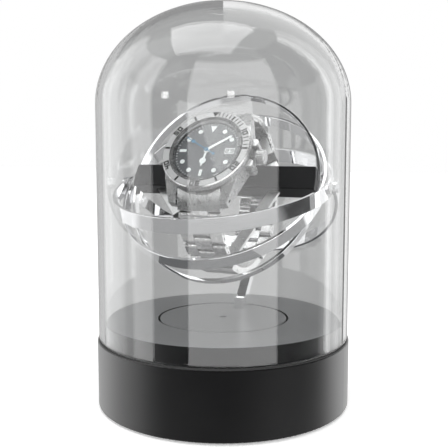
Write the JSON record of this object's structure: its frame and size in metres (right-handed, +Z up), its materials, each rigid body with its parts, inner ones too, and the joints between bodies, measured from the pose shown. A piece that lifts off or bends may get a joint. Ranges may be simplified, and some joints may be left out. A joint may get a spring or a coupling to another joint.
{
  "type": "watch winder",
  "caption": "Display watch winder: round black base, glass bell, three coaxial steel rings turning on a bow arm over a turntable, and a square bar that carries a wristwatch.",
  "frame": {"origin": "centre of the base's footprint on the table, under the four rubber feet", "axes": "+Z up through the turntable's axis; X along the rings' common pivot line at rest; -Y is the side the watch faces, +Y the back with the power inlet"},
  "size_m": [0.12, 0.1202, 0.188],
  "materials": {
    "painted_black": "satin black lacquer",
    "dark_plate": "satin black lacquer",
    "rubber_black": "matt",
    "screw_steel": "turned",
    "clear_glass": "clear, polished",
    "bright_aluminium": "machined",
    "bronze": "turned",
    "nylon": "moulded",
    "motor_can": "plated",
    "board_green": "solder mask",
    "black_plastic": "moulded",
    "polished_steel": "mirror polished",
    "satin_black": "satin black",
    "satin_steel": "satin and polished",
    "bezel_silver": "matt silver",
    "dial_grey": "grey lacquer",
    "mark_white": "luminous paint",
    "mark_black": "black print",
    "hand_blue": "blue lacquer"
  },
  "bodies": {
    "base": {"base_shell": "painted_black", "bottom_plate": "dark_plate", "rubber_feet": "rubber_black", "bottom_screws": "screw_steel", "dome_seal": "rubber_black", "bridge_plate": "bright_aluminium", "chassis_screws": "screw_steel", "spindle_bushes": "bronze", "gearmotor": "motor_can", "control_board": "board_green", "board_parts": "black_plastic", "board_posts": "black_plastic", "power_inlet": "black_plastic", "switch_body": "black_plastic"},
    "bell": {"dome": "clear_glass"},
    "rotor": {"turntable": "dark_plate", "spindle": "screw_steel", "drive_gear": "nylon", "gear_clip": "screw_steel", "arm_stem": "polished_steel", "arm_bow": "polished_steel", "rotor_screws": "screw_steel", "pivot_pins": "screw_steel", "pivot_washers": "screw_steel"},
    "motor_rotor": {"motor_shaft": "screw_steel", "pinion": "bronze"},
    "button": {"push_button": "black_plastic"},
    "ring_outer": {"outer_ring": "polished_steel", "outer_ring_bushes": "bronze"},
    "ring_middle": {"middle_ring": "polished_steel", "middle_ring_bushes": "bronze"},
    "ring_inner": {"inner_ring": "polished_steel", "inner_ring_bushes": "bronze", "holder_bar": "satin_black", "bar_screws": "screw_steel", "clip_frame": "polished_steel", "clip_sleeves": "rubber_black", "clip_pads": "rubber_black", "watch_case": "satin_steel", "case_back": "satin_steel", "movement": "bronze", "dial": "dial_grey", "date_window": "mark_white", "date_digits": "mark_black", "chapter_ring": "bezel_silver", "hour_marks": "mark_white", "crystal": "clear_glass", "end_links": "satin_steel", "side_links": "satin_steel", "centre_links": "satin_steel", "bracelet_pins": "screw_steel", "clasp_cover": "satin_steel", "clasp_blade": "satin_steel"},
    "watch_bezel": {"bezel": "satin_steel", "bezel_insert": "bezel_silver", "bezel_marks": "mark_black"},
    "watch_crown": {"crown": "satin_steel"},
    "hand_hour": {"hour_hand": "mark_white"},
    "hand_minute": {"minute_hand": "mark_white"},
    "hand_second": {"second_hand": "hand_blue"}
  },
  "joints": [
    {"name": "bell_lift", "type": "slide", "parent": "base", "child": "bell", "axis": [0, 0, 1], "range_m": [0, 0.16]},
    {"name": "turntable_spin", "type": "hinge", "parent": "base", "child": "rotor", "pos_m": [0, 0, 0.0403], "axis": [0, 0, 1], "continuous": true},
    {"name": "motor_spin", "type": "hinge", "parent": "base", "child": "motor_rotor", "pos_m": [0, -0.0256, 0.0145], "axis": [0, 0, 1], "continuous": true},
    {"name": "button_press", "type": "slide", "parent": "base", "child": "button", "axis": [0, -1, 0], "range_m": [0, 0.0012], "stiffness_N_per_m": 400, "springref_m": -0.0003},
    {"name": "outer_ring_turn", "type": "hinge", "parent": "rotor", "child": "ring_outer", "pos_m": [0, 0, 0.1035], "axis": [1, 0, 0], "continuous": true},
    {"name": "middle_ring_turn", "type": "hinge", "parent": "rotor", "child": "ring_middle", "pos_m": [0, 0, 0.1035], "axis": [1, 0, 0], "continuous": true},
    {"name": "inner_ring_turn", "type": "hinge", "parent": "rotor", "child": "ring_inner", "pos_m": [0, 0, 0.1035], "axis": [1, 0, 0], "continuous": true},
    {"name": "bezel_turn", "type": "hinge", "parent": "ring_inner", "child": "watch_bezel", "pos_m": [0.0066, -0.03202, 0.12037], "axis": [0, -0.807, 0.5906], "continuous": true},
    {"name": "crown_turn", "type": "hinge", "parent": "ring_inner", "child": "watch_crown", "pos_m": [0.0311, -0.02815, 0.11753], "axis": [1, 0, 0], "continuous": true},
    {"name": "second_turn", "type": "hinge", "parent": "ring_inner", "child": "hand_second", "pos_m": [0.0066, -0.03226, 0.12054], "axis": [0, 0.807, -0.5906], "continuous": true},
    {"name": "minute_turn", "type": "hinge", "parent": "ring_inner", "child": "hand_minute", "pos_m": [0.0066, -0.03194, 0.12031], "axis": [0, 0.807, -0.5906], "continuous": true},
    {"name": "hour_turn", "type": "hinge", "parent": "ring_inner", "child": "hand_hour", "pos_m": [0.0066, -0.03154, 0.12001], "axis": [0, 0.807, -0.5906], "continuous": true}
  ],
  "couplings": [
    {"joint": "motor_spin", "follows": "turntable_spin", "ratio": -3},
    {"joint": "minute_turn", "follows": "second_turn", "ratio": 0.016667},
    {"joint": "hour_turn", "follows": "second_turn", "ratio": 0.0013889}
  ]
}
